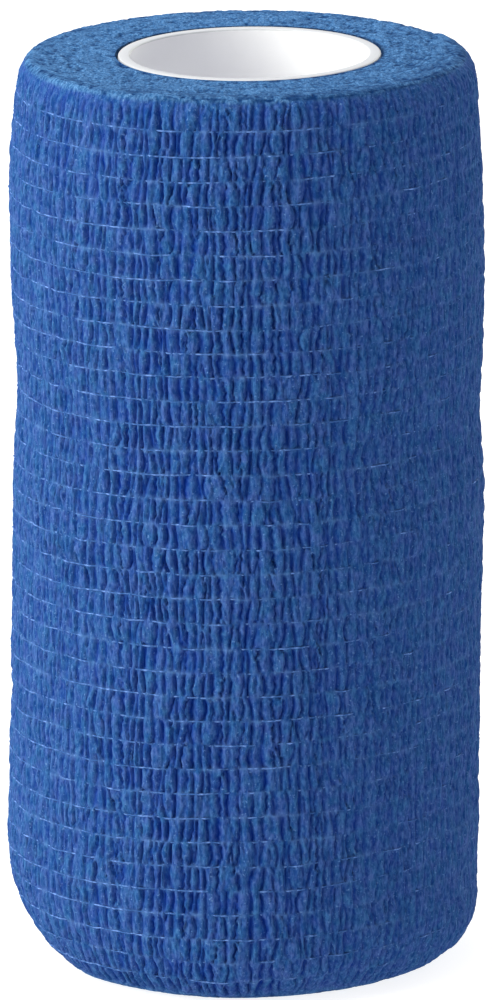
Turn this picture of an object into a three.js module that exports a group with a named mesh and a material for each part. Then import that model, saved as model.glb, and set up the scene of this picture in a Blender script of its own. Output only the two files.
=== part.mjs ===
// A cohesive bandage roll that stands on one end: one crinkled elastic strip wound on a plain tube.
// Units are millimetres. +Z is the axis of the roll, z = 0 is the surface it stands on, and -Y is its front.
import * as THREE from "three";

// Driving dimensions
const stripWidth = 100; // width of the strip, so the height of the standing roll
const coreRadius = 14.2; // outer radius of the tube
const coreWall = 1.3;
const coreBevel = 0.2; // broken edge on both ends of the tube
const fitGap = 0.3; // clearance between the tube and the innermost turn
const layerThickness = 0.64; // one turn of the cloth with its crinkles
const cutEndAngle = 25; // degrees from +X: where the outermost turn ends, on the back of the roll
const cutEndLength = 0.4; // how far around the roll the step of the cut end takes, in mm
const leanSlope = 0.02; // both ends are cut a little off square, so the roll leans to +X by this share

// Number of flat facets around each piece, and of steps in its rounded edges
const clothFacets = 96;
const coreFacets = 72;
const footSteps = 7;
const shoulderSteps = 5;

// The side of the roll: one row per height. radius is the mean radius of the cloth there, and slip is how
// far its middle lies to +X from the middle of the tube.
const sideRows = [
  { z: 13.5, radius: 25.6, slip: 0 },
  { z: 18, radius: 25.6, slip: 0.05 },
  { z: 26, radius: 25.5, slip: 0.1 },
  { z: 36, radius: 25.5, slip: 0.2 },
  { z: 46, radius: 25.55, slip: 0.25 },
  { z: 54, radius: 25.5, slip: 0.15 },
  { z: 58, radius: 25.2, slip: 0 },
  { z: 62, radius: 25.0, slip: 0.05 },
  { z: 66, radius: 25.25, slip: 0.15 },
  { z: 72, radius: 25.5, slip: -0.05 },
  { z: 80, radius: 25.65, slip: -0.25 },
  { z: 88, radius: 25.6, slip: -0.45 },
  { z: 92.5, radius: 25.3, slip: -0.5 },
  { z: 95.5, radius: 24.8, slip: -0.35 },
];

// The rounded foot, where the outer turns curl in: one row per angle in degrees from +X. inward and height
// are the two half-axes of the rounding. It is fullest on the -X side.
const footRows = [
  { angle: 0, inward: 5.8, height: 6 },
  { angle: 60, inward: 6, height: 7 },
  { angle: 120, inward: 7, height: 10 },
  { angle: 180, inward: 9.6, height: 14 },
  { angle: 225, inward: 7, height: 12 },
  { angle: 270, inward: 6.5, height: 6 },
  { angle: 315, inward: 5.8, height: 8.8 },
];

// The tighter shoulder at the top, by angle in the same way
const shoulderRows = [
  { angle: 0, inward: 2.5, height: 3.5 },
  { angle: 180, inward: 1.8, height: 4.4 },
];

// Slow unevenness of the winding at the front and back
const swell = { depth: 0.22, waves: 3, pitch: 31 };

const turn = 2 * Math.PI;

function makeMaterial(color, roughness) {
  return new THREE.MeshStandardMaterial({ color, roughness, metalness: 0 });
}

// How much the outermost turn adds at an angle: it grows by one layer in a turn and drops at the cut end.
function spiralHeight(angle) {
  const start = THREE.MathUtils.degToRad(cutEndAngle);
  const turned = THREE.MathUtils.euclideanModulo(angle - start, turn) / turn;
  return layerThickness * (turned - 0.5);
}

function swellHeight(angle, z) {
  const acrossView = Math.sin(angle) ** 2;
  return swell.depth * acrossView * Math.sin(swell.waves * angle + z / swell.pitch);
}

// The value between two rows at an angle, eased so that it is smooth all the way round.
function edgeAt(rows, angle) {
  const degrees = THREE.MathUtils.euclideanModulo(THREE.MathUtils.radToDeg(angle), 360);
  const index = rows.findLastIndex((row) => row.angle <= degrees);
  const from = rows[index];
  const to = rows[(index + 1) % rows.length];
  const span = THREE.MathUtils.euclideanModulo(to.angle - from.angle, 360);
  const share = (1 - Math.cos((Math.PI * (degrees - from.angle)) / span)) / 2;
  return {
    inward: THREE.MathUtils.lerp(from.inward, to.inward, share),
    height: THREE.MathUtils.lerp(from.height, to.height, share),
  };
}

// The closed outline of the cloth at one angle, as radius and height, from the bore at the base outward.
function clothOutline(angle, growth) {
  const foot = edgeAt(footRows, angle);
  const shoulder = edgeAt(shoulderRows, angle);
  const first = sideRows[0];
  const last = sideRows[sideRows.length - 1];
  const reach = (row) => row.radius + row.slip * Math.cos(angle) + growth + swellHeight(angle, row.z);
  const bore = coreRadius + fitGap;

  const outline = [{ radius: bore, z: 0 }];
  for (let i = 0; i <= footSteps; i++) {
    const phi = (Math.PI / 2) * (1 - i / footSteps);
    outline.push({
      radius: reach(first) - foot.inward * (1 - Math.cos(phi)),
      z: foot.height * (1 - Math.sin(phi)),
    });
  }
  for (const row of sideRows) {
    outline.push({ radius: reach(row), z: row.z });
  }
  for (let i = 1; i <= shoulderSteps; i++) {
    const phi = (Math.PI / 2) * (i / shoulderSteps);
    outline.push({
      radius: reach(last) - shoulder.inward * (1 - Math.cos(phi)),
      z: stripWidth - shoulder.height * (1 - Math.sin(phi)),
    });
  }
  outline.push({ radius: bore, z: stripWidth });
  return outline;
}

// Angles of the sections around the roll: even steps, and one more just before the cut end.
function sectionAngles() {
  const start = THREE.MathUtils.degToRad(cutEndAngle);
  const step = cutEndLength / sideRows[0].radius;
  const sections = [];
  for (let i = 0; i < clothFacets; i++) {
    const angle = start + (turn * i) / clothFacets;
    sections.push({ angle, growth: spiralHeight(angle) });
  }
  sections.push({ angle: start + turn - step, growth: spiralHeight(start + turn - step) });
  return sections;
}

// A ring that closes on itself, from one closed outline per section around the axis.
function ringGeometry(outlines) {
  const around = outlines.length;
  const along = outlines[0].points.length;
  const positions = [];
  for (const { angle, points } of outlines) {
    for (const point of points) {
      positions.push(point.radius * Math.cos(angle), point.radius * Math.sin(angle), point.z);
    }
  }
  const indices = [];
  for (let i = 0; i < around; i++) {
    const next = (i + 1) % around;
    for (let j = 0; j < along; j++) {
      const up = (j + 1) % along;
      const a = i * along + j;
      const b = next * along + j;
      const c = next * along + up;
      const d = i * along + up;
      indices.push(a, b, c, a, c, d);
    }
  }
  const geometry = new THREE.BufferGeometry();
  geometry.setAttribute("position", new THREE.Float32BufferAttribute(positions, 3));
  geometry.setIndex(indices);
  geometry.computeVertexNormals();
  return geometry;
}

// Leans a piece to +X about its middle height, with both of its ends kept level.
function leanOver(geometry) {
  geometry.translate(0, 0, -stripWidth / 2);
  geometry.applyMatrix4(new THREE.Matrix4().makeShear(0, 0, 0, 0, leanSlope, 0));
  geometry.translate(0, 0, stripWidth / 2);
  return geometry;
}

// The wound cloth: one ring whose bore is round and whose outside follows the rows above.
function makeBandage() {
  const outlines = sectionAngles().map(({ angle, growth }) => ({
    angle,
    points: clothOutline(angle, growth),
  }));
  const mesh = new THREE.Mesh(leanOver(ringGeometry(outlines)), makeMaterial("#2f5598", 0.9));
  mesh.name = "bandage";
  return mesh;
}

// The tube: a closed section turned about the axis, with its four edges broken.
function makeCore() {
  const outer = coreRadius;
  const inner = coreRadius - coreWall;
  const profile = [
    [inner + coreBevel, 0],
    [outer - coreBevel, 0],
    [outer, coreBevel],
    [outer, stripWidth - coreBevel],
    [outer - coreBevel, stripWidth],
    [inner + coreBevel, stripWidth],
    [inner, stripWidth - coreBevel],
    [inner, coreBevel],
    [inner + coreBevel, 0],
  ].map(([radius, z]) => new THREE.Vector2(radius, z));
  const upright = new THREE.LatheGeometry(profile, coreFacets).rotateX(Math.PI / 2);
  const mesh = new THREE.Mesh(leanOver(upright), makeMaterial("#e9e9ec", 0.45));
  mesh.name = "core";
  return mesh;
}

// The slipped winding puts the middle of the whole roll beside the axis of its tube, so both pieces
// move back together until the roll stands over the origin.
function centreOverOrigin(group) {
  const box = new THREE.Box3().setFromObject(group, true);
  const middle = box.getCenter(new THREE.Vector3());
  group.position.set(-middle.x, -middle.y, 0);
  return group;
}

const roll = new THREE.Group();
roll.add(makeBandage());
roll.add(makeCore());

export default centreOverOrigin(roll);
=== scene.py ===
import math

import bpy
import numpy as np
from mathutils import Matrix, Vector


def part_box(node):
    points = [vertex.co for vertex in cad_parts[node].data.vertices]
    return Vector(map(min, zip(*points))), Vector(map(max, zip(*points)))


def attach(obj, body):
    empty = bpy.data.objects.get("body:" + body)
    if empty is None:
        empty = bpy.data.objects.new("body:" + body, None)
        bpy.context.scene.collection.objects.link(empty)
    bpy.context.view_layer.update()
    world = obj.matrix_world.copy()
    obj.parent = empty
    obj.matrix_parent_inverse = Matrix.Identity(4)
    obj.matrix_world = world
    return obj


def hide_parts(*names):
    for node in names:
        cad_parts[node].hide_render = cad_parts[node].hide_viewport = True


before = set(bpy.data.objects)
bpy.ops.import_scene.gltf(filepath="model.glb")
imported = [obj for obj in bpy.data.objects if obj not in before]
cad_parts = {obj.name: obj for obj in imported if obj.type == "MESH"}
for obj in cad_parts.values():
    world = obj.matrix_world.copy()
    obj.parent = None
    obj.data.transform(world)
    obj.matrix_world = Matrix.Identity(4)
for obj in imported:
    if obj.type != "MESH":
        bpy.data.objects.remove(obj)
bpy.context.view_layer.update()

# Lengths are in millimetres until a mesh is made, and the tables give angles in degrees.
MM = 0.001
TURN = 2 * math.pi

# The tube as the frame holds it: it leans to +X, with level ends
core_low, core_high = (np.array(corner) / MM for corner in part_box("core"))
ROLL_HEIGHT = core_high[2]
CORE_RADIUS = (core_high[1] - core_low[1]) / 2
CORE_WALL = 1.3
CORE_BEVEL = 0.22
CORE_SIDES = 240
BEVEL_STEPS = 4
LEAN = (core_high[0] - core_low[0] - 2 * CORE_RADIUS) / ROLL_HEIGHT
AXIS = (core_low + core_high)[:2] / 2
FIT_GAP = 0.3
BORE_RADIUS = CORE_RADIUS + FIT_GAP  # the innermost turn of the cloth

# The wound form: the side by height, and the rounded foot and shoulder by angle from +X
SIDE_ROWS = [
    {"z": 13.5, "radius": 25.6, "slip": 0},
    {"z": 18, "radius": 25.6, "slip": 0.05},
    {"z": 26, "radius": 25.5, "slip": 0.1},
    {"z": 36, "radius": 25.5, "slip": 0.2},
    {"z": 46, "radius": 25.55, "slip": 0.25},
    {"z": 54, "radius": 25.5, "slip": 0.15},
    {"z": 58, "radius": 25.2, "slip": 0},
    {"z": 62, "radius": 25.0, "slip": 0.05},
    {"z": 66, "radius": 25.25, "slip": 0.15},
    {"z": 72, "radius": 25.5, "slip": -0.05},
    {"z": 80, "radius": 25.65, "slip": -0.25},
    {"z": 88, "radius": 25.6, "slip": -0.45},
    {"z": 92.5, "radius": 25.3, "slip": -0.5},
    {"z": 95.5, "radius": 24.8, "slip": -0.35},
]
FOOT_ROWS = [
    {"angle": 0, "inward": 5.8, "height": 6},
    {"angle": 60, "inward": 6, "height": 7},
    {"angle": 120, "inward": 7, "height": 10},
    {"angle": 180, "inward": 9.6, "height": 14},
    {"angle": 225, "inward": 7, "height": 12},
    {"angle": 270, "inward": 6.5, "height": 6},
    {"angle": 315, "inward": 5.8, "height": 8.8},
]
SHOULDER_ROWS = [
    {"angle": 0, "inward": 2.5, "height": 3.5},
    {"angle": 180, "inward": 1.8, "height": 4.4},
]
SWELL = {"depth": 0.22, "waves": 3, "pitch": 31}  # slow unevenness at the front and back
MEAN_RADIUS = 25.5
GIRTH = TURN * MEAN_RADIUS

# The strip
STRIP_WIDTH = ROLL_HEIGHT
LAYER = 0.64  # one turn of the crinkled cloth
CUT_ANGLE = 25  # where the outermost turn ends
EDGE_ON_SHOULDER = 58  # where the strip's upper edge lies on the rounding of the shoulder
THREADS = 37  # lines along the strip: one at its upper edge, and then the elastic threads
THREAD_PITCH = 2.69
FIRST_THREAD = 0.35
THREAD_TILT = 0.007  # how steeply the threads rise towards +X
# How the threads wander: reach in mm, length of a wave round the roll, and change from thread to thread
THREAD_WAVES = [
    {"reach": 0.16, "length": 9, "change": 0.45, "seed": 31},
    {"reach": 0.07, "length": 2.2, "change": 3.7, "seed": 32},
]

# The creases across the strip. A pair of numbers is the range in which each crease has its own value.
CREASE = {
    "pitch": 1.0,
    "jitter": 0.2,  # how far it starts from its even place
    "drift": 0.2,  # how far it moves from one thread to the next
    "evening": 0.3,  # how much of an uneven gap is made up on the way
    "shift": 0.15,  # how far its ends lie from those of its neighbours across a thread
    "bow": 0.18,
    "strength": (0.7, 1.0),
    "weak_share": 0.07,
    "weak_strength": 0.4,
    "held": (0.15, 0.75),  # how much a thread flattens it
    "held_reach": 0.45,
    "roundness": (0.45, 1.15),
    "rise": (0.7, 1),
}
# More creases, which are short and lie between the others
SHORT_CREASE = {
    "count": 90,
    "span": (-0.4, 1.4),
    "fade": 0.25,
    "slant": 0.5,
    "strength": (0.2, 0.7),
    "roundness": (0.4, 1.0),
}
CREASE_WARP = {"reach": 0.2, "length": 1.3, "change": 3.0, "seed": 7}
NARROW_RIDGE = {"height": 0.45, "from_gap": 0.15, "to_gap": 0.9}  # two near creases leave a low ridge
SMALLEST_GAP = 1e-3
RIDGE_MIDDLE = (0.15, 0.85)  # where a ridge passes from the depth of one crease to that of the next
PLEAT_HEIGHT = 0.8

# The creases are lower towards -X and +X than at the front and back, and so is their painted shade. start
# and end are how far to that side a place lies, as a share of the radius.
CALM_SIDES = [
    {"towards": -1, "start": 0.3, "end": 1.05, "loss": 0.36},
    {"towards": 1, "start": 0, "end": 0.85, "loss": 0.48},
]
# They are lower under the strip's upper edge too, most of all at the back
CALM_EDGE = {"reach": 3, "loss": 0.6, "more_at_back": 0.3}

# Noises on the side: the cells' lengths round the roll and down it, and the height that they add
SIDE_NOISES = {
    "puff": {"round": 6, "down": 5, "height": 0.03, "seed": 3},
    "ripple": {"round": 0.5, "down": 1.4, "height": 0.11, "seed": 4},
    "grain": {"round": 0.28, "down": 0.42, "height": 0.03, "seed": 5},
    "streak": {"round": 0.31, "down": 1.0, "height": 0.03, "seed": 6},
}
PUFF_OF_PLEATS = 0.2
SIDE_SUNK = 0.08
PINCH = {"depth": 0.1, "reach": 0.28}  # the cloth is drawn in at its threads
# The cloth is pale where it sticks to its threads, in patches of noise. Towards +X, the side in shade, the
# paleness fades: painted shade.
BOND = {"round": 1.5, "down": 1.1, "seed": 9, "patches": (-0.1, 0.6), "reach": 0.2, "strength": 0.4}
BOND_PAINTED_SHADE_TO_X = {"start": 0, "end": 0.8, "loss": 0.5}

# How far past the strip's edges the side's cloth gives way to the wound edges
PAST_UPPER_EDGE = (-0.2, 0.4)
PAST_LOWER_EDGE = (-0.25, 0.9)
# Painted shade: the side is a little darker under the strip's upper edge, most of all towards -X
UNDER_EDGE_PAINTED_SHADE = {"start": 0.8, "end": 2.6, "dark": 0.2, "least": 0.3}
# The foot lies flat on the floor, with hollows that are shallower there, and the bore lies flat on the tube
FLOOR_REACH = 1
FLOOR_HOLLOWS = 0.6
BORE_REACH = 0.4

# Noises on the ends, in cells round and across the winding, and in square cells. Seeds are added to the
# end's own seed.
END_MEAN_RADIUS = 18
END_GIRTH = TURN * END_MEAN_RADIUS
END_NOISES = {
    "wave": {"round": 1.1, "across": 1.0, "seed": 0},
    "long_wave": {"round": 4, "across": 2.5, "seed": 1},
    "broken": {"round": 1.1, "across": 0.9, "seed": 5},
    "pits": {"round": 0.44, "across": 0.36, "seed": 6},
}
WAVE_REACH = {"wave": 0.2, "long_wave": 0.12}  # how far the turns wander inward and outward
PATCHES = {"broken": (-0.5, 0.6), "pits": (0.2, 0.8)}  # the noise over which a feature sets in
SQUARE_NOISES = {
    "grain": {"size": 0.42, "shift": 200, "wrap": 500, "seed": 3},
    "fine": {"size": 0.2, "shift": 400, "wrap": 900, "seed": 4},
}
# The edge of each turn stands at its own height, and between two turns lies a groove
EDGE_STEP = {"round": 1.1, "shift": 7.3, "rows": 3.0, "seed": 2}
GROOVE_SHARPNESS = 3
# What each feature of the ends adds to their height and to their painted shading: shade in the grooves,
# pits and beside the bore, and light on the standing edges and the raised grain
END_FEATURES = {
    "stand": {"height": 0.06, "painted_shading": -0.3},
    "groove": {"height": -0.1, "painted_shading": 0.35},
    "grain": {"height": 0.06, "painted_shading": -0.25},
    "fine": {"height": 0.04, "painted_shading": 0},
    "pits": {"height": -0.12, "painted_shading": 0.6},
    "beside_bore": {"height": -0.1, "painted_shading": 0.35},
}
# The painted shade that every part of the ends starts from
END_PAINTED_SHADING = 0.12
BESIDE_BORE = (0.15, 0.6)
# The outer turns are flatter, and get more painted shade where the shoulder rounds over
OUTER_TURNS = {"start": 19.5, "end": 23, "flatter": 0.4, "painted_shading": 0.14}
# Painted shade towards the front and +X, away from the light that falls from the left and back
FRONT_RIGHT_PAINTED_SHADE = {"start": -0.2, "end": 1.2, "painted_shading": 0.12, "outer_painted_shading": 0.1}
END_SEEDS = {"top": 50, "base": 80}

# The elastic threads, which follow the crests of the creases and sink in and out of them
THREAD_RADIUS = 0.13
THREAD_SIDES = 3
THREAD_STEP = 3
THREAD_PHASE = 0.4
THREAD_LEVEL = {"reach": 0.32, "length": 1.7, "seed": 500}
THREAD_BEADS = {"reach": 0.16, "length": 0.7, "seed": 700}
THREAD_SUNK = 0.17
THREAD_SUNK_TO_X = 0.12
THREAD_HIGHEST = 0.03
CREST = {"columns": 3, "highest": 0.6}  # between the mean and the highest of the cloth near by

# The grid of the skin, and the threads at which it is cut into slabs
CUT_THREADS = [3, 12, 21, 30]
COLUMNS = 1080
END_ROWS = 54
BASE_ROWS = 26
ROW_STEPS = [0, 0.08, 0.21, 0.36, 0.5, 0.64, 0.79, 0.92]
OUTLINE_STEPS = {"flat": 30, "shoulder": 20, "side": 400, "foot": 40}

# The grid's columns: how far each lies along the outermost turn, and its angle in radians. The first lies
# just past the cut end and the last just before it.
SHARE = (np.arange(COLUMNS) + 0.5) / COLUMNS
THETA = math.radians(CUT_ANGLE) + TURN * SHARE

# Linear colours
COLORS = {
    "ridge_dark": (0.0092, 0.048, 0.196),
    "ridge_light": (0.0425, 0.11, 0.306),
    # Pale flecks: lint, and painted glints where the crests catch the light
    "ridge_lint_and_glint": (0.085, 0.17, 0.38),
    "ridge_violet": (1.2, 0.95, 1.03),
    "ridge_green": (0.8, 1.05, 0.97),
    "streak_dark": (0.91, 0.93, 0.95),
    "streak_light": (1.09, 1.07, 1.05),
    # Painted shade in the creases and under the strip's upper edge
    "painted_valley_shade": (0.0002, 0.0195, 0.205),
    "bond": (0.1, 0.2, 0.44),
    # A lighter copy of the cloth's colour for the ends: painted light, where they face the top light
    "end_middle_painted_light": (0.019, 0.088, 0.232),
    "end_painted_light": (0.1, 0.24, 0.482),
    "end_fleck_painted_light": (0.16, 0.32, 0.58),
    # Painted shade in the ends' grooves and pits and beside the bore
    "end_painted_shade": (0.002, 0.026, 0.11),
    "sheen": (0.45, 0.7, 1),
    "thread_dark": (0.035, 0.105, 0.32),
    "thread_light": (0.175, 0.315, 0.72),
    "wall_dark": (0.84, 0.84, 0.88),
    "wall_light": (0.86, 0.86, 0.895),
    # The rims' painted shade: a darker copy of the wall's white, where they face the top light
    "rim_painted_shade": (0.52, 0.53, 0.56),
    "floor": (0.35, 0.35, 0.35),
    "world": (0.93, 0.95, 1),
}

CAMERA = {"distance": 1800, "elevation": 13.41, "roll": -0.6, "aim_x": 0.12, "aim_z": 50.46}
PIXELS_PER_MM = 9.214
IMAGE_HEIGHT = 1000

# Place and size in metres, power in watts
LIGHTS = [
    {"name": "key", "at": (-0.8, -0.26, 0.38), "size": 0.7, "power": 10.4, "color": (1, 1, 0.87)},
    {"name": "top", "at": (-0.3, 0.1, 0.85), "size": 0.9, "power": 7.4, "color": (1, 1, 1)},
    {"name": "back", "at": (0.7, 1.0, 0.4), "size": 0.6, "power": 4.6, "color": (1, 1, 0.8)},
]
WORLD_STRENGTH = 0.478
FLOOR = {"half": 2500, "z": -0.05, "glow": 0.85}


def rng_of(seed):
    return np.random.default_rng(seed)


def smoothstep(low, high, x):
    t = np.clip((x - low) / (high - low), 0, 1)
    return t * t * (3 - 2 * t)


def lattice_noise(u, v, wrap, seed):
    """Smooth noise from -1 to 1 on a lattice of unit cells, which repeats every wrap cells along u."""
    u, v = np.broadcast_arrays(u, v)
    v = v - math.floor(v.min())
    grid = rng_of(seed).uniform(-1, 1, (int(v.max()) + 2, wrap))
    iu, iv = np.floor(u).astype(int), np.floor(v).astype(int)
    fu, fv = u - iu, v - iv
    fu, fv = fu * fu * (3 - 2 * fu), fv * fv * (3 - 2 * fv)
    iu = iu % wrap
    ju = (iu + 1) % wrap
    low = grid[iv, iu] * (1 - fu) + grid[iv, ju] * fu
    high = grid[iv + 1, iu] * (1 - fu) + grid[iv + 1, ju] * fu
    return low * (1 - fv) + high * fv


def round_noise(across, length, seed, girth=GIRTH):
    """Noise round the roll in cells of about a given length. across counts the cells the other way."""
    wrap = round(girth / length)
    return lattice_noise(THETA / TURN * wrap, across, wrap, seed)


def side_noise(cell, s):
    return round_noise(s / cell["down"], cell["round"], cell["seed"])


def eased_by_angle(rows, key):
    """The rows' value at each column, eased between two rows so that it is smooth all the way round."""
    angles = np.array([row["angle"] for row in rows] + [360])
    values = np.array([row[key] for row in rows] + [rows[0][key]])
    degrees = np.degrees(THETA) % 360
    index = np.searchsorted(angles, degrees, side="right") - 1
    share = (degrees - angles[index]) / (angles[index + 1] - angles[index])
    share = (1 - np.cos(np.pi * share)) / 2
    return (values[index] * (1 - share) + values[index + 1] * share)[:, None]


def smooth_side(key):
    """A function of height that runs softly through the side's rows."""
    step, softness = 0.25, 1.6
    reach, margin = 6, 10
    heights = np.arange(-margin, ROLL_HEIGHT + margin, step)
    line = np.interp(heights, [row["z"] for row in SIDE_ROWS], [row[key] for row in SIDE_ROWS])
    kernel = np.exp(-((np.arange(-reach, reach + step, step) / softness) ** 2) / 2)
    soft = np.convolve(line, kernel / kernel.sum(), mode="same")
    trim = round(reach / step)
    return lambda z: np.interp(z, heights[trim:-trim], soft[trim:-trim])


side_radius = smooth_side("radius")
side_slip = smooth_side("slip")


def reach_at(z):
    """Distance of the wound surface from the tube's axis at some heights, one row per column of the grid."""
    theta, share = THETA[:, None], SHARE[:, None]
    swell = SWELL["depth"] * np.sin(theta) ** 2 * np.sin(SWELL["waves"] * theta + z / SWELL["pitch"])
    return side_radius(z) + side_slip(z) * np.cos(theta) + swell + LAYER * (share - 0.5)


def outlines():
    """The outline of the roll at each angle, from the bore's upper edge outward and down to its lower edge.

    Returns radius, height and length along the outline, and that length at the strip's upper edge."""
    shoulder_in = eased_by_angle(SHOULDER_ROWS, "inward")
    shoulder_high = eased_by_angle(SHOULDER_ROWS, "height")
    foot_in = eased_by_angle(FOOT_ROWS, "inward")
    foot_high = eased_by_angle(FOOT_ROWS, "height")
    top = ROLL_HEIGHT - shoulder_high
    at_top = reach_at(top)
    at_foot = reach_at(foot_high)

    edge = math.radians(EDGE_ON_SHOULDER)
    flat = np.linspace(0, 1, OUTLINE_STEPS["flat"])[None, :]
    arc_over = np.linspace(math.pi / 2, edge, OUTLINE_STEPS["shoulder"])[None, 1:]
    arc_down = np.linspace(edge, 0, OUTLINE_STEPS["shoulder"])[None, 1:]
    down = np.linspace(0, 1, OUTLINE_STEPS["side"])[None, 1:]
    arc_foot = np.linspace(0, math.pi / 2, OUTLINE_STEPS["foot"])[None, 1:]

    def shoulder(phi):
        return at_top - shoulder_in * (1 - np.cos(phi)), top + shoulder_high * np.sin(phi)

    side_z = top + (foot_high - top) * down
    back = 1 - flat[:, 1:]
    parts = [
        (BORE_RADIUS + (at_top - shoulder_in - BORE_RADIUS) * flat, np.full_like(flat, ROLL_HEIGHT)),
        shoulder(arc_over),
        shoulder(arc_down),
        (reach_at(side_z), side_z),
        (at_foot - foot_in * (1 - np.cos(arc_foot)), foot_high * (1 - np.sin(arc_foot))),
        (BORE_RADIUS + (at_foot - foot_in - BORE_RADIUS) * back, np.zeros_like(back)),
    ]
    parts = [np.broadcast_arrays(r, z) for r, z in parts]
    radius = np.concatenate([r for r, _ in parts], 1)
    height = np.concatenate([z for _, z in parts], 1)
    steps = np.hypot(np.diff(radius, axis=1), np.diff(height, axis=1))
    length = np.concatenate([np.zeros((COLUMNS, 1)), np.cumsum(steps, axis=1)], 1)
    edge_index = flat.shape[1] + arc_over.shape[1] - 1
    return radius, height, length, length[:, edge_index]


def place(radius, height, theta):
    """Points in the shared frame from radius and height beside the tube's axis, which leans to +X."""
    x = AXIS[0] + radius * np.cos(theta) + LEAN * (height - ROLL_HEIGHT / 2)
    y = AXIS[1] + radius * np.sin(theta)
    return np.stack([x, y, height], -1)


def crease_lines():
    """Where the creases cross the strip's edges and threads, in mm round the roll: one row per crossing."""
    rng = rng_of(11)
    count = round(GIRTH / CREASE["pitch"])
    pitch = GIRTH / count
    line = (np.arange(count) + 0.5) * pitch + rng.normal(0, CREASE["jitter"], count)
    lines = []
    for _ in range(THREADS + 1):
        lines.append(np.sort(line))
        line = lines[-1] + rng.normal(0, CREASE["drift"], count)
        gap_before = np.diff(line, prepend=line[-1] - GIRTH)
        gap_after = np.diff(line, append=line[0] + GIRTH)
        line = line + CREASE["evening"] * (gap_after - gap_before) / 2
    return np.array(lines)


def crease_table():
    """Where the creases lie in each band between two threads, and how deep, wide and bent each one is."""
    rng = rng_of(23)
    lines = crease_lines()
    bands, count = len(lines) - 1, lines.shape[1]
    shape, short_shape = (bands, count), (bands, SHORT_CREASE["count"])
    start_strength, end_strength = rng.uniform(*CREASE["strength"], (2, *shape))
    weak = np.where(rng.random(shape) < CREASE["weak_share"], CREASE["weak_strength"], 1)
    span = np.sort(rng.uniform(*SHORT_CREASE["span"], (*short_shape, 2)), axis=2)
    return {
        "lines": lines,
        "start_shift": rng.normal(0, CREASE["shift"], shape),
        "end_shift": rng.normal(0, CREASE["shift"], shape),
        "bow": rng.normal(0, CREASE["bow"], shape),
        "start_strength": start_strength * weak,
        "end_strength": end_strength * weak,
        "held": rng.uniform(*CREASE["held"], shape),
        "roundness": rng.uniform(*CREASE["roundness"], shape),
        "rise": rng.uniform(*CREASE["rise"], shape),
        "short_at": rng.uniform(0, GIRTH, short_shape),
        "short_slant": rng.normal(0, SHORT_CREASE["slant"], short_shape),
        "short_span": span,
        "short_strength": rng.uniform(*SHORT_CREASE["strength"], short_shape),
        "short_roundness": rng.uniform(*SHORT_CREASE["roundness"], short_shape),
    }


CREASES = crease_table()


def crinkle(band, t, x):
    """Depth of the creases, from 0 on a ridge to 1, along one line across them.

    band counts the bands between two threads, t is from 0 to 1 across it, and x is in mm round the roll."""
    table = {key: values[band] for key, values in CREASES.items() if key != "lines"}
    start = CREASES["lines"][band] + table["start_shift"]
    end = CREASES["lines"][band + 1] + table["end_shift"]
    long_at = start * (1 - t) + end * t + table["bow"] * math.sin(math.pi * t)
    near_thread = min(t, 1 - t) * THREAD_PITCH
    held = 1 - table["held"] * (1 - smoothstep(0, CREASE["held_reach"], near_thread))
    long_strength = (table["start_strength"] * (1 - t) + table["end_strength"] * t) * held

    short_from, short_to = table["short_span"].T
    fade = SHORT_CREASE["fade"]
    inside = np.clip((t - short_from) / fade, 0, 1) * np.clip((short_to - t) / fade, 0, 1)
    short_at = table["short_at"] + table["short_slant"] * (t - 0.5)
    order = np.argsort(np.concatenate([long_at, short_at]))

    def in_order(long_values, short_values):
        """Values of all creases in their order, with the last one also before the first, and so on round."""
        values = np.concatenate([long_values, short_values])[order]
        return np.concatenate([values[-1:], values, values[:1]])

    where = in_order(long_at, short_at)
    where[0] -= GIRTH
    where[-1] += GIRTH
    strength = in_order(long_strength, inside * table["short_strength"])
    roundness = in_order(table["roundness"], table["short_roundness"])
    rise = in_order(table["rise"], np.ones(len(short_at)))

    index = np.clip(np.searchsorted(where, x) - 1, 0, len(where) - 2)
    gap = np.maximum(where[index + 1] - where[index], SMALLEST_GAP)
    u = np.clip((x - where[index]) / gap, 0, 1)
    wide = smoothstep(NARROW_RIDGE["from_gap"], NARROW_RIDGE["to_gap"], gap)
    ridge = (4 * u * (1 - u)) ** roundness[index] * rise[index]
    ridge = ridge * (NARROW_RIDGE["height"] + (1 - NARROW_RIDGE["height"]) * wide)
    blend = smoothstep(*RIDGE_MIDDLE, u)
    depth = strength[index] * (1 - blend) + strength[index + 1] * blend
    return (1 - ridge) * depth


def thread_positions():
    """Distance of the threads and the lower edge from the strip's upper edge: one row each, by column."""
    nodes = np.concatenate([FIRST_THREAD + THREAD_PITCH * np.arange(THREADS), [STRIP_WIDTH]])[:, None]
    number = np.arange(len(nodes))[:, None]
    wander = sum(wave["reach"] * round_noise(number * wave["change"], wave["length"], wave["seed"])
                 for wave in THREAD_WAVES)
    calm_edge = 8
    free = np.clip(np.minimum(nodes, STRIP_WIDTH - nodes) / calm_edge, 0, 1)
    return nodes + free * (wander - THREAD_TILT * MEAN_RADIUS * np.cos(THETA))


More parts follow.
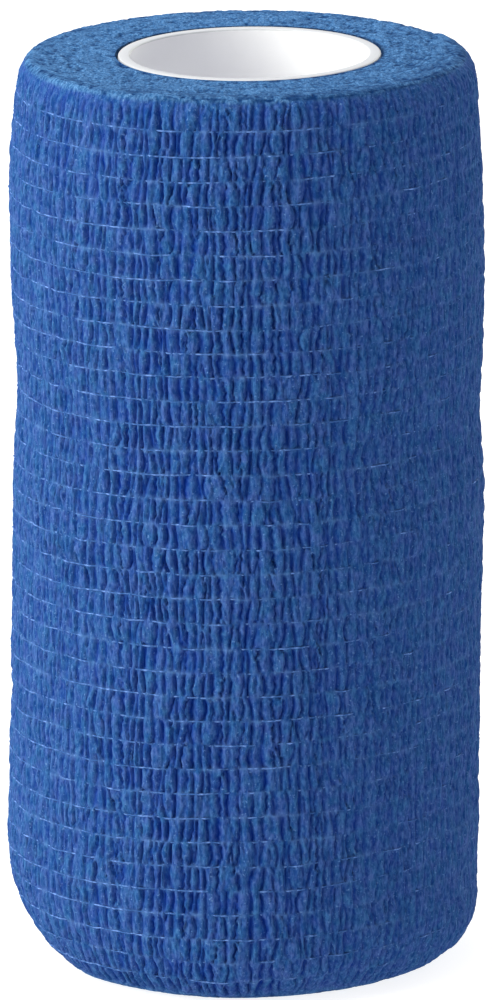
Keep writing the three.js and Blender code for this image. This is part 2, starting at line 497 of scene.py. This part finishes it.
def skin_grid():
    """The roll's plain surface on a grid, its outward directions, and the depth of its creases.

    s is the distance from the strip's upper edge, down the outside."""
    radius, height, length, edge = outlines()
    nodes = thread_positions()
    bands = [(k, t) for k in range(THREADS) for t in ROW_STEPS] + [(THREADS - 1, 1)]
    first = END_ROWS
    last = first + len(bands) - 1
    rest = length[:, -1] - edge - nodes[-1]
    arcs = [(edge + nodes[0]) * i / END_ROWS for i in range(END_ROWS)]
    arcs += [edge + (nodes[k] * (1 - t) + nodes[k + 1] * t) for k, t in bands]
    arcs += [edge + nodes[-1] + rest * i / BASE_ROWS for i in range(1, BASE_ROWS + 1)]
    arc = np.array(arcs)

    r = np.empty_like(arc)
    z = np.empty_like(arc)
    for column in range(COLUMNS):
        r[:, column] = np.interp(arc[:, column], length[column], radius[column])
        z[:, column] = np.interp(arc[:, column], length[column], height[column])
    tangent_r = np.gradient(r, axis=0)
    tangent_z = np.gradient(z, axis=0)
    size = np.hypot(tangent_r, tangent_z)

    crease = np.zeros_like(arc)
    wrap = round(GIRTH / CREASE_WARP["length"])
    for row, (k, t) in enumerate(bands, first):
        warp = lattice_noise(SHARE * wrap, CREASE_WARP["change"] * (k + t), wrap, CREASE_WARP["seed"])
        crease[row] = crinkle(k, t, (SHARE * GIRTH + CREASE_WARP["reach"] * warp) % GIRTH)
    crease[:first] = crease[first]
    crease[last + 1:] = crease[last]
    return {
        "s": arc - edge, "r": r, "z": z, "out_r": -tangent_z / size, "out_z": tangent_r / size,
        "crease": crease, "first": first, "last": last,
    }


def end_pattern(grid, seed):
    """Height and painted shading of the strip's wound edges on one end of the roll, on all of the grid's
    rows.
    """
    r = grid["r"]

    def wound_noise(name, across):
        noise = END_NOISES[name]
        return round_noise(across / noise["across"], noise["round"], seed + noise["seed"], END_GIRTH)

    def square_noise(name):
        noise = SQUARE_NOISES[name]
        u = r * np.cos(THETA) / noise["size"] + noise["shift"]
        v = r * np.sin(THETA) / noise["size"]
        return lattice_noise(u, v, noise["wrap"], seed + noise["seed"])

    wave = sum(reach * wound_noise(name, r) for name, reach in WAVE_REACH.items())
    turns = (r - BORE_RADIUS + wave) / LAYER - SHARE
    number = np.floor(turns)
    wrap = round(END_GIRTH / EDGE_STEP["round"])
    along = THETA / TURN * wrap + number * EDGE_STEP["shift"]
    groove = np.abs(2 * (turns - number) - 1) ** GROOVE_SHARPNESS
    features = {
        "stand": lattice_noise(along, number * EDGE_STEP["rows"], wrap, seed + EDGE_STEP["seed"]),
        "groove": groove * smoothstep(*PATCHES["broken"], wound_noise("broken", r)),
        "grain": square_noise("grain"),
        "fine": square_noise("fine"),
        "pits": smoothstep(*PATCHES["pits"], wound_noise("pits", r + wave)),
        "beside_bore": 1 - smoothstep(*BESIDE_BORE, r - BORE_RADIUS),
    }
    height = sum(END_FEATURES[name]["height"] * value for name, value in features.items())
    painted_shading = END_PAINTED_SHADING + sum(END_FEATURES[name]["painted_shading"] * value for name, value in features.items())

    outer = smoothstep(OUTER_TURNS["start"], OUTER_TURNS["end"], r)
    # Painted shade towards the front and +X, and more of it on the outer turns
    near = smoothstep(FRONT_RIGHT_PAINTED_SHADE["start"], FRONT_RIGHT_PAINTED_SHADE["end"], np.cos(THETA) - np.sin(THETA))
    painted_shading = painted_shading + FRONT_RIGHT_PAINTED_SHADE["painted_shading"] * near
    painted_shading = painted_shading + (OUTER_TURNS["painted_shading"] + FRONT_RIGHT_PAINTED_SHADE["outer_painted_shading"] * near) * outer
    return height * (1 - OUTER_TURNS["flatter"] * outer), np.clip(painted_shading, 0, 1)


def creases_height():
    """How high the creases stand at each angle, as a share of their full height."""
    calm = 1
    for row in CALM_SIDES:
        calm = calm - row["loss"] * smoothstep(row["start"], row["end"], row["towards"] * np.cos(THETA))
    return calm


def side_relief(s, crease, calm, apart):
    """Height of the cloth on the side of the roll."""
    noises = {name: side_noise(cell, s) for name, cell in SIDE_NOISES.items()}
    pleats = (1 + PUFF_OF_PLEATS * noises["puff"]) * calm * (1 - crease) - calm
    pinch = np.exp(-((apart / PINCH["reach"]) ** 2))
    fine = sum(cell["height"] * noises[name] for name, cell in SIDE_NOISES.items())
    return PLEAT_HEIGHT * pleats - SIDE_SUNK - PINCH["depth"] * pinch + fine


def skin_fields(grid):
    """Adds the creases, the threads' pinch and the wound edges to the grid: points, normals and painted
    shade.
    """
    r, z, s = grid["r"], grid["z"], grid["s"]
    towards_x = np.cos(THETA)
    edge_loss = CALM_EDGE["loss"] + CALM_EDGE["more_at_back"] * np.sin(THETA)
    crease = grid["crease"] * (1 - edge_loss * (1 - smoothstep(0, CALM_EDGE["reach"], s)))
    below_upper = 1 - smoothstep(*PAST_UPPER_EDGE, -s)
    above_lower = 1 - smoothstep(*PAST_LOWER_EDGE, s - STRIP_WIDTH)
    side = below_upper * above_lower
    calm = creases_height()
    nodes = thread_positions()
    apart = np.min(np.abs(s[None] - nodes[1:-1, None, :]), axis=0)
    bond = smoothstep(*BOND["patches"], side_noise(BOND, s)) * np.exp(-((apart / BOND["reach"]) ** 2))
    # Painted shade: the paleness fades towards +X
    bond = bond * (1 - BOND_PAINTED_SHADE_TO_X["loss"] * smoothstep(BOND_PAINTED_SHADE_TO_X["start"], BOND_PAINTED_SHADE_TO_X["end"], towards_x))

    is_top = np.arange(len(r))[:, None] < (grid["first"] + grid["last"]) // 2
    top_height, top_painted_shading = end_pattern(grid, END_SEEDS["top"])
    base_height, base_painted_shading = end_pattern(grid, END_SEEDS["base"])
    end_height = np.where(is_top, top_height, base_height)
    end_painted_shading = np.where(is_top, top_painted_shading, base_painted_shading)
    height = side * side_relief(s, crease, calm, apart) + (1 - side) * end_height

    on_floor = 1 - smoothstep(0, FLOOR_REACH, z)
    hollows = FLOOR_HOLLOWS * np.minimum(height, 0)
    height = np.where(is_top, height, height * (1 - on_floor) + hollows * on_floor)
    height = height * smoothstep(0, BORE_REACH, r - BORE_RADIUS)

    new_z = np.maximum(z + grid["out_z"] * height, 0)
    points = place(r + grid["out_r"] * height, new_z, THETA)
    along = np.gradient(points, axis=0)
    normals = np.cross(along, np.roll(points, -1, axis=1) - np.roll(points, 1, axis=1))
    normals /= np.linalg.norm(normals, axis=2, keepdims=True)

    # Painted shade under the strip's upper edge
    least = UNDER_EDGE_PAINTED_SHADE["least"]
    dark = UNDER_EDGE_PAINTED_SHADE["dark"] * (least + (1 - least) * smoothstep(0, 1, -towards_x))
    painted_shade_under_edge = dark * (1 - smoothstep(UNDER_EDGE_PAINTED_SHADE["start"], UNDER_EDGE_PAINTED_SHADE["end"], s))
    # The crease attribute: painted shade in the creases and under the strip's upper edge on the side, and
    # the ends' painted shading
    depth = side * (crease * calm + painted_shade_under_edge) + (1 - side) * end_painted_shading
    grid.update(points=points, normals=normals, height=height, mean_z=new_z.mean(axis=1))
    grid.update(depth=np.clip(depth, 0, 1), side=side, bond=BOND["strength"] * side * bond)
    return grid


def link(obj):
    bpy.context.scene.collection.objects.link(obj)
    return obj


def mesh_object(name, points, faces, material, normals=None, attributes=None):
    """An object from points in mm and faces as lists of vertex numbers, shaded smooth."""
    mesh = bpy.data.meshes.new(name)
    mesh.from_pydata((np.asarray(points) * MM).tolist(), [], faces)
    for key, values in (attributes or {}).items():
        layer = mesh.attributes.new(name=key, type="FLOAT", domain="POINT")
        layer.data.foreach_set("value", np.asarray(values, dtype=np.float32).ravel())
    mesh.shade_smooth()
    if normals is not None:
        mesh.normals_split_custom_set_from_vertices(np.asarray(normals).reshape(-1, 3).tolist())
    mesh.materials.append(material)
    return link(bpy.data.objects.new(name, mesh))


def ring_faces(rings, columns):
    """Quads between each ring of vertices and the next, and from the last back to the first."""
    index = np.arange(rings * columns).reshape(rings, columns)
    down = np.roll(index, -1, axis=0)
    quads = np.stack([index, down, np.roll(down, -1, axis=1), np.roll(index, -1, axis=1)], -1)
    return quads.reshape(-1, 4).tolist()


def winding_piece(name, grid, start, stop, material):
    """One slab of the wound cloth: the skin's rows from start to stop, closed through the roll."""
    points = grid["points"][start:stop + 1]
    normals = grid["normals"][start:stop + 1]
    fields = {key: grid[key][start:stop + 1] for key in ("depth", "side", "bond")}
    # The faces through the roll to its bore take the full painted shade
    at_bore = {"depth": 1.0, "side": 0.0, "bond": 0.0}
    inner_rows = [stop] if stop < len(grid["points"]) - 1 else []
    if start > 0:
        inner_rows.append(start)
    for row in inner_rows:
        ring = place(np.full(COLUMNS, BORE_RADIUS), np.full(COLUMNS, grid["mean_z"][row]), THETA)
        inward = np.stack([-np.cos(THETA), -np.sin(THETA), 0 * THETA], -1)
        points = np.concatenate([points, ring[None]])
        normals = np.concatenate([normals, inward[None]])
        for key, value in at_bore.items():
            fields[key] = np.concatenate([fields[key], np.full((1, COLUMNS), value)])
    attributes = {"crease": fields["depth"], "side": fields["side"], "bond": fields["bond"]}
    faces = ring_faces(len(points), COLUMNS)
    return mesh_object(name, points.reshape(-1, 3), faces, material, normals, attributes)


def winding_slabs(grid, material):
    cuts = [grid["first"] + thread * len(ROW_STEPS) for thread in CUT_THREADS]
    cuts = [0] + cuts + [len(grid["points"]) - 1]
    return [
        winding_piece(f"winding_{number}", grid, start, stop, material)
        for number, (start, stop) in enumerate(zip(cuts, cuts[1:]), 1)
    ]


def elastic_threads(grid, material):
    """The elastic threads round the outer turn, each a fine tube that sinks in and out of the cloth."""
    columns = np.arange(0, COLUMNS, THREAD_STEP)
    if columns[-1] != COLUMNS - 1:
        columns = np.append(columns, COLUMNS - 1)
    count = len(columns)
    points, faces, base = [], [], 0
    for k in range(1, THREADS):
        row = grid["first"] + k * len(ROW_STEPS)
        shifts = range(-CREST["columns"], CREST["columns"] + 1)
        near = np.stack([np.roll(grid["height"][row], shift) for shift in shifts])
        crest = CREST["highest"] * near.max(axis=0) + (1 - CREST["highest"]) * near.mean(axis=0)
        level, beads = (
            wave["reach"] * round_noise(0.5, wave["length"], wave["seed"] + k)
            for wave in (THREAD_LEVEL, THREAD_BEADS)
        )
        proud = level + beads - THREAD_SUNK - THREAD_SUNK_TO_X * np.cos(THETA)
        lift = crest + np.minimum(proud, THREAD_HIGHEST)
        out_r, out_z = grid["out_r"][row], grid["out_z"][row]
        for corner in range(THREAD_SIDES):
            phi = TURN * corner / THREAD_SIDES + THREAD_PHASE
            along_r = out_r * math.cos(phi) - out_z * math.sin(phi)
            along_z = out_z * math.cos(phi) + out_r * math.sin(phi)
            r = grid["r"][row] + out_r * lift + THREAD_RADIUS * along_r
            z = grid["z"][row] + out_z * lift + THREAD_RADIUS * along_z
            points.append(place(r, z, THETA)[columns])
        for corner in range(THREAD_SIDES):
            a = base + corner * count + np.arange(count - 1)
            b = base + ((corner + 1) % THREAD_SIDES) * count + np.arange(count - 1)
            faces += np.stack([a, b, b + 1, a + 1], -1).tolist()
        caps = base + np.arange(THREAD_SIDES) * count
        faces.append(caps[::-1].tolist())
        faces.append((caps + count - 1).tolist())
        base += THREAD_SIDES * count
    return mesh_object("elastic_threads", np.concatenate(points), faces, material)


def core_tube(material):
    """The white tube, with softly broken rims."""
    outer, inner = CORE_RADIUS, CORE_RADIUS - CORE_WALL
    steps = [math.pi / 2 * i / BEVEL_STEPS for i in range(BEVEL_STEPS + 1)]
    section = []
    for (r, z, start) in (
        (outer - CORE_BEVEL, CORE_BEVEL, -math.pi / 2),
        (outer - CORE_BEVEL, ROLL_HEIGHT - CORE_BEVEL, 0),
        (inner + CORE_BEVEL, ROLL_HEIGHT - CORE_BEVEL, math.pi / 2),
        (inner + CORE_BEVEL, CORE_BEVEL, math.pi),
    ):
        turned = [start + step for step in steps]
        section += [(r + CORE_BEVEL * math.cos(a), z + CORE_BEVEL * math.sin(a)) for a in turned]
    theta = np.arange(CORE_SIDES) / CORE_SIDES * TURN
    rings = np.array([place(np.full(CORE_SIDES, r), np.full(CORE_SIDES, z), theta) for r, z in section])
    # The rim faces, which take painted shade
    rim_depth = 0.9 * CORE_BEVEL
    at_rim = [float(min(z, ROLL_HEIGHT - z) < rim_depth) for _, z in section]
    faces = [face[::-1] for face in ring_faces(len(section), CORE_SIDES)]
    attributes = {"rim_painted_shade": np.repeat(at_rim, CORE_SIDES)}
    return mesh_object("core_tube", rings.reshape(-1, 3), faces, material, attributes=attributes)


def new_material(name):
    """A new material, its node tree and its one shader."""
    material = bpy.data.materials.new(name)
    material.use_nodes = True
    tree = material.node_tree
    tree.nodes.clear()
    out = tree.nodes.new("ShaderNodeOutputMaterial")
    shader = tree.nodes.new("ShaderNodeBsdfPrincipled")
    tree.links.new(shader.outputs["BSDF"], out.inputs["Surface"])
    return material, tree, shader


def attribute(tree, name):
    node = tree.nodes.new("ShaderNodeAttribute")
    node.attribute_name = name
    return node.outputs["Fac"]


def object_coords(tree, length_scale=1.0):
    """Coordinates on the object, drawn out along its height where the scale is under 1."""
    coords = tree.nodes.new("ShaderNodeTexCoord").outputs["Object"]
    if length_scale == 1:
        return coords
    mapping = tree.nodes.new("ShaderNodeMapping")
    mapping.inputs["Scale"].default_value = (1, 1, length_scale)
    tree.links.new(coords, mapping.inputs["Vector"])
    return mapping.outputs["Vector"]


def noise(tree, coords, scale, detail, roughness=0.5):
    node = tree.nodes.new("ShaderNodeTexNoise")
    node.inputs["Scale"].default_value = scale
    node.inputs["Detail"].default_value = detail
    node.inputs["Roughness"].default_value = roughness
    tree.links.new(coords, node.inputs["Vector"])
    return node.outputs["Fac"]


def spread(tree, value, low, high):
    """The value stretched so that low becomes 0 and high becomes 1."""
    node = tree.nodes.new("ShaderNodeMapRange")
    node.inputs["From Min"].default_value = low
    node.inputs["From Max"].default_value = high
    tree.links.new(value, node.inputs["Value"])
    return node.outputs["Result"]


def mix_color(tree, factor, a, b, blend_type="MIX"):
    """A mix of two colours, each a socket or a name in the table of colours."""
    node = tree.nodes.new("ShaderNodeMix")
    node.data_type = "RGBA"
    node.blend_type = blend_type
    for socket, value in ((node.inputs[0], factor), (node.inputs[6], a), (node.inputs[7], b)):
        if isinstance(value, bpy.types.NodeSocket):
            tree.links.new(value, socket)
        elif isinstance(value, str):
            socket.default_value = (*COLORS[value], 1)
        else:
            socket.default_value = value
    return node.outputs[2]


def add_bump(tree, shader, height, strength, distance):
    """Roughens the shader's surface. The distance is in metres."""
    node = tree.nodes.new("ShaderNodeBump")
    node.inputs["Strength"].default_value = strength
    node.inputs["Distance"].default_value = distance
    tree.links.new(height, node.inputs["Height"])
    tree.links.new(node.outputs["Normal"], shader.inputs["Normal"])


def cloth_material():
    material, tree, shader = new_material("bandage_cloth")
    crease, side, bond = (attribute(tree, name) for name in ("crease", "side", "bond"))
    coords = object_coords(tree)
    grain = noise(tree, object_coords(tree, 0.4), scale=3400, detail=3, roughness=0.6)
    streak = noise(tree, object_coords(tree, 0.15), scale=2600, detail=2)
    speckle = spread(tree, grain, low=0.38, high=0.64)
    # Pale flecks, partly lint and partly painted glints
    lint_and_glint = spread(tree, noise(tree, coords, scale=3800, detail=1), low=0.64, high=0.76)
    hue = spread(tree, noise(tree, coords, scale=700, detail=2), low=0.35, high=0.65)
    streak = spread(tree, streak, low=0.38, high=0.62)
    # Painted shade, from the crease attribute: darker in the creases and under the strip's upper edge
    painted_valley_shade = spread(tree, crease, low=0.12, high=0.82)

    ridge = mix_color(tree, speckle, "ridge_dark", "ridge_light")
    tint = mix_color(tree, hue, "ridge_violet", "ridge_green")
    ridge = mix_color(tree, 1.0, ridge, tint, "MULTIPLY")
    shade = mix_color(tree, streak, "streak_dark", "streak_light")
    ridge = mix_color(tree, 1.0, ridge, shade, "MULTIPLY")
    ridge = mix_color(tree, lint_and_glint, ridge, "ridge_lint_and_glint")
    side_color = mix_color(tree, painted_valley_shade, ridge, "painted_valley_shade")
    side_color = mix_color(tree, bond, side_color, "bond")

    # The ends take a lighter copy of the cloth's colour: painted light, where they face the top light
    end_painted_light = mix_color(tree, speckle, "end_middle_painted_light", "end_painted_light")
    end_painted_light = mix_color(tree, lint_and_glint, end_painted_light, "end_fleck_painted_light")
    # Painted shade and light on the ends, from the crease attribute
    end_color = mix_color(tree, crease, end_painted_light, "end_painted_shade")

    color = mix_color(tree, side, end_color, side_color)
    tree.links.new(color, shader.inputs["Base Color"])
    shader.inputs["Roughness"].default_value = 0.9
    shader.inputs["Specular IOR Level"].default_value = 0.05
    shader.inputs["Sheen Weight"].default_value = 0.02
    shader.inputs["Sheen Roughness"].default_value = 0.5
    shader.inputs["Sheen Tint"].default_value = (*COLORS["sheen"], 1)
    add_bump(tree, shader, grain, strength=0.6, distance=0.00028)
    return material


def core_material():
    material, tree, shader = new_material("core_tube")
    cloud = noise(tree, object_coords(tree), scale=120, detail=4)
    wall = mix_color(tree, cloud, "wall_dark", "wall_light")
    # Painted shade on the rims, which face the top light
    color = mix_color(tree, attribute(tree, "rim_painted_shade"), wall, "rim_painted_shade")
    tree.links.new(color, shader.inputs["Base Color"])
    shader.inputs["Roughness"].default_value = 0.45
    add_bump(tree, shader, cloud, strength=0.15, distance=0.0001)
    return material


def thread_material():
    material, tree, shader = new_material("elastic_thread")
    cloud = spread(tree, noise(tree, object_coords(tree), scale=1500, detail=2), low=0.46, high=0.74)
    color = mix_color(tree, cloud, "thread_dark", "thread_light")
    tree.links.new(color, shader.inputs["Base Color"])
    shader.inputs["Specular IOR Level"].default_value = 0.1
    shader.inputs["Roughness"].default_value = 0.8
    return material


def floor_material():
    material, _, shader = new_material("pale_floor")
    shader.inputs["Base Color"].default_value = (*COLORS["floor"], 1)
    shader.inputs["Roughness"].default_value = 0.9
    shader.inputs["Emission Color"].default_value = (1, 1, 1, 1)
    shader.inputs["Emission Strength"].default_value = FLOOR["glow"]
    return material


def make_camera():
    """A long lens that looks a little down on the roll."""
    elevation, roll = math.radians(CAMERA["elevation"]), math.radians(CAMERA["roll"])
    target = np.array([CAMERA["aim_x"], AXIS[1], CAMERA["aim_z"]])
    forward = Vector((0, math.cos(elevation), -math.sin(elevation)))
    right, up = Vector((1, 0, 0)), Vector((0, math.sin(elevation), math.cos(elevation)))
    right, up = right * math.cos(roll) + up * math.sin(roll), up * math.cos(roll) - right * math.sin(roll)
    data = bpy.data.cameras.new("camera")
    data.lens = PIXELS_PER_MM * CAMERA["distance"] * data.sensor_width / IMAGE_HEIGHT
    data.clip_end = 100
    camera = link(bpy.data.objects.new("camera", data))
    stands_at = Vector(target * MM) - forward * CAMERA["distance"] * MM
    camera.matrix_world = Matrix.Translation(stands_at) @ Matrix((right, up, -forward)).transposed().to_4x4()
    bpy.context.scene.camera = camera


def area_light(name, at, size, power, color):
    """A square light that shines on the middle of the roll."""
    data = bpy.data.lights.new(name, "AREA")
    data.shape = "SQUARE"
    data.size = size
    data.energy = power
    data.color = color
    light = link(bpy.data.objects.new(name, data))
    light.location = at
    middle = Vector((0, 0, 0.05))
    light.rotation_euler = (middle - Vector(at)).to_track_quat("-Z", "Y").to_euler()
    light.visible_camera = False


def make_studio():
    scene = bpy.context.scene
    world = bpy.data.worlds.new("studio")
    world.use_nodes = True
    background = world.node_tree.nodes["Background"]
    background.inputs["Color"].default_value = (*COLORS["world"], 1)
    background.inputs["Strength"].default_value = WORLD_STRENGTH
    scene.world = world
    scene.view_settings.view_transform = "Standard"
    for light in LIGHTS:
        area_light(**light)
    half = FLOOR["half"]
    corners = [(x * half, y * half, FLOOR["z"]) for x, y in ((-1, -1), (1, -1), (1, 1), (-1, 1))]
    mesh_object("floor", corners, [(0, 1, 2, 3)], floor_material())


make_camera()
make_studio()

grid = skin_fields(skin_grid())
slabs = winding_slabs(grid, cloth_material())
for slab in slabs:
    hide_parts("bandage")
threads = elastic_threads(grid, thread_material())
core = core_tube(core_material())
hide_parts("core")
for piece in [*slabs, threads, core]:
    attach(piece, "root")
